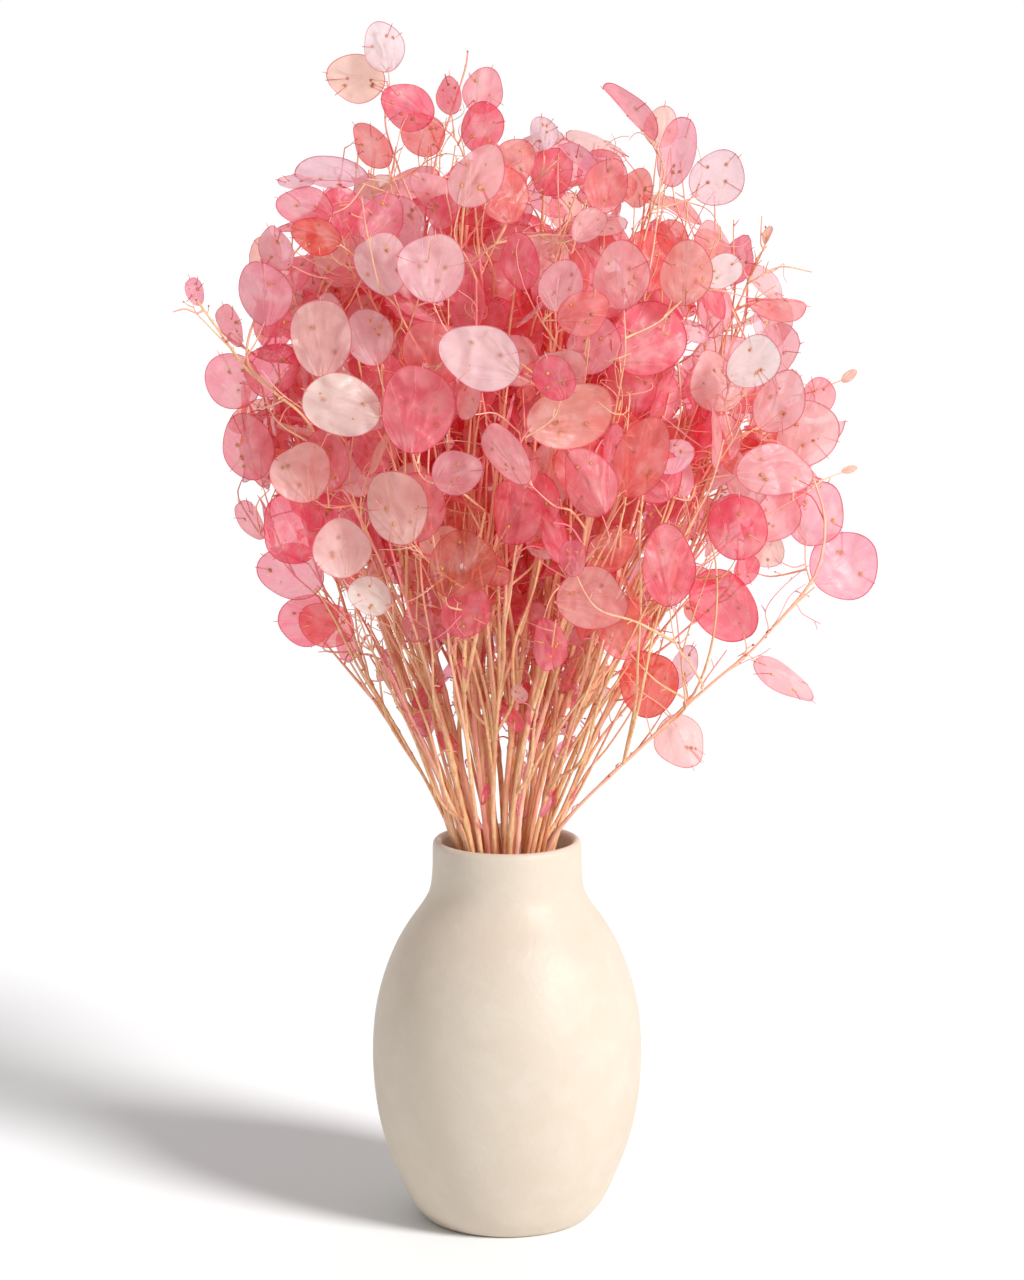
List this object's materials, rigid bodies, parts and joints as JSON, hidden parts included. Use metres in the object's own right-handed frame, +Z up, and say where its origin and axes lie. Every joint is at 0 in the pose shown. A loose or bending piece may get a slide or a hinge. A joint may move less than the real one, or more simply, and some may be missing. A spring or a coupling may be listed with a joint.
{
  "type": "vase of dyed honesty seed pod stems",
  "caption": "Round-bellied stoneware vase holding a full bunch of dried honesty stems with papery, see-through pink seed pods.",
  "frame": {"origin": "centre of the vase's flat base, on the surface that it stands on", "axes": "+Z up along the vase's axis; -Y towards the side of the bunch that faces the viewer; +X to the viewer's right"},
  "size_m": [0.3433, 0.2541, 0.604],
  "materials": {
    "stoneware": "matt cream slip over fine-grained stoneware, with a faint orange-peel ripple",
    "rose_pods": "papery seed pods dyed rose, thin enough to see through, on straw-coloured stalks",
    "pale_pods": "papery seed pods dyed pale pink, thin enough to see through, on straw-coloured stalks",
    "pink_pods": "papery seed pods dyed clear pink, thin enough to see through, on straw-coloured stalks"
  },
  "bodies": {
    "root": {"vase": "stoneware", "stem_01": "rose_pods", "stem_02": "pale_pods", "stem_03": "pink_pods", "stem_04": "rose_pods", "stem_05": "pale_pods", "stem_06": "pink_pods", "stem_07": "rose_pods", "stem_08": "pale_pods", "stem_09": "pink_pods", "stem_10": "rose_pods", "stem_11": "pale_pods", "stem_12": "pink_pods", "stem_13": "rose_pods", "stem_14": "pale_pods", "stem_15": "pink_pods", "stem_16": "rose_pods", "stem_17": "pale_pods", "stem_18": "pink_pods", "stem_19": "rose_pods", "stem_20": "pale_pods", "stem_21": "pink_pods", "stem_22": "rose_pods", "stem_23": "pale_pods", "stem_24": "pink_pods", "stem_25": "rose_pods", "stem_26": "pale_pods", "stem_27": "pink_pods", "stem_28": "rose_pods", "stem_29": "pale_pods", "stem_30": "pink_pods", "stem_31": "rose_pods", "stem_32": "pale_pods", "stem_33": "pink_pods", "stem_34": "rose_pods"}
  },
  "joints": []
}
